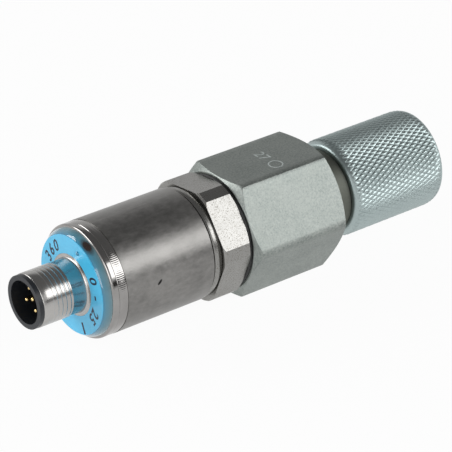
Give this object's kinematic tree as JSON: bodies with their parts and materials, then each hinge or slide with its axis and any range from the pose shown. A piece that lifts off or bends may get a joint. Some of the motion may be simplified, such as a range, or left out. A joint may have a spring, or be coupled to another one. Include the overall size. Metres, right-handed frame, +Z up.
{
  "type": "pressure transmitter",
  "caption": "Round stainless pressure transmitter with a round pin connector, screwed into a hexagonal test-point adapter with a knurled swivel nut.",
  "frame": {"origin": "on the axis, where the thread of the coupling nut begins, just inside its mouth", "axes": "+X along the axis, from the electrical connector out through the coupling nut's mouth, the way the test point leaves; +Z up, normal to a flat of the large hexagon, with the opposite flat underneath as it lies"},
  "size_m": [0.106, 0.031, 0.027],
  "materials": {
    "shell_steel": "turned nickel-plated shell, bright",
    "carrier_plastic": "black glass-filled polyamide",
    "rubber": "black elastomer",
    "contact_gold": "gold-plated contact",
    "label_film": "printed film, blue",
    "clear_plastic": "clear moulded plastic",
    "polished_steel": "polished stainless steel",
    "satin_steel": "satin stainless steel",
    "milled_steel": "milled stainless steel",
    "zinc_plate": "zinc-plated steel, blue passivated",
    "board_laminate": "circuit board, green solder resist",
    "ceramic": "ceramic capacitor",
    "ribbon_film": "amber film ribbon",
    "spring_steel": "drawn spring wire"
  },
  "bodies": {
    "transmitter": {"connector_shell": "shell_steel", "contact_carrier": "carrier_plastic", "carrier_seal": "rubber", "contact_pin_1": "contact_gold", "contact_pin_2": "contact_gold", "contact_pin_3": "contact_gold", "contact_pin_4": "contact_gold", "contact_pin_5": "contact_gold", "range_label": "label_film", "clear_end_cap": "clear_plastic", "end_ring": "polished_steel", "housing_tube": "satin_steel", "process_port": "milled_steel", "sensor_cell": "satin_steel", "contact_board": "board_laminate", "main_board": "board_laminate", "board_holder": "carrier_plastic", "amplifier_chip": "carrier_plastic", "capacitors": "ceramic", "cell_ribbon": "ribbon_film", "seal_ring": "rubber", "adapter_body": "zinc_plate", "opener_pin": "satin_steel", "nose_seal": "rubber", "retaining_wire": "spring_steel"},
    "nut": {"coupling_nut": "zinc_plate"}
  },
  "joints": [
    {"name": "nut_turn", "type": "hinge", "parent": "transmitter", "child": "nut", "pos_m": [-0.02, 0, 0], "axis": [1, 0, 0], "continuous": true}
  ]
}
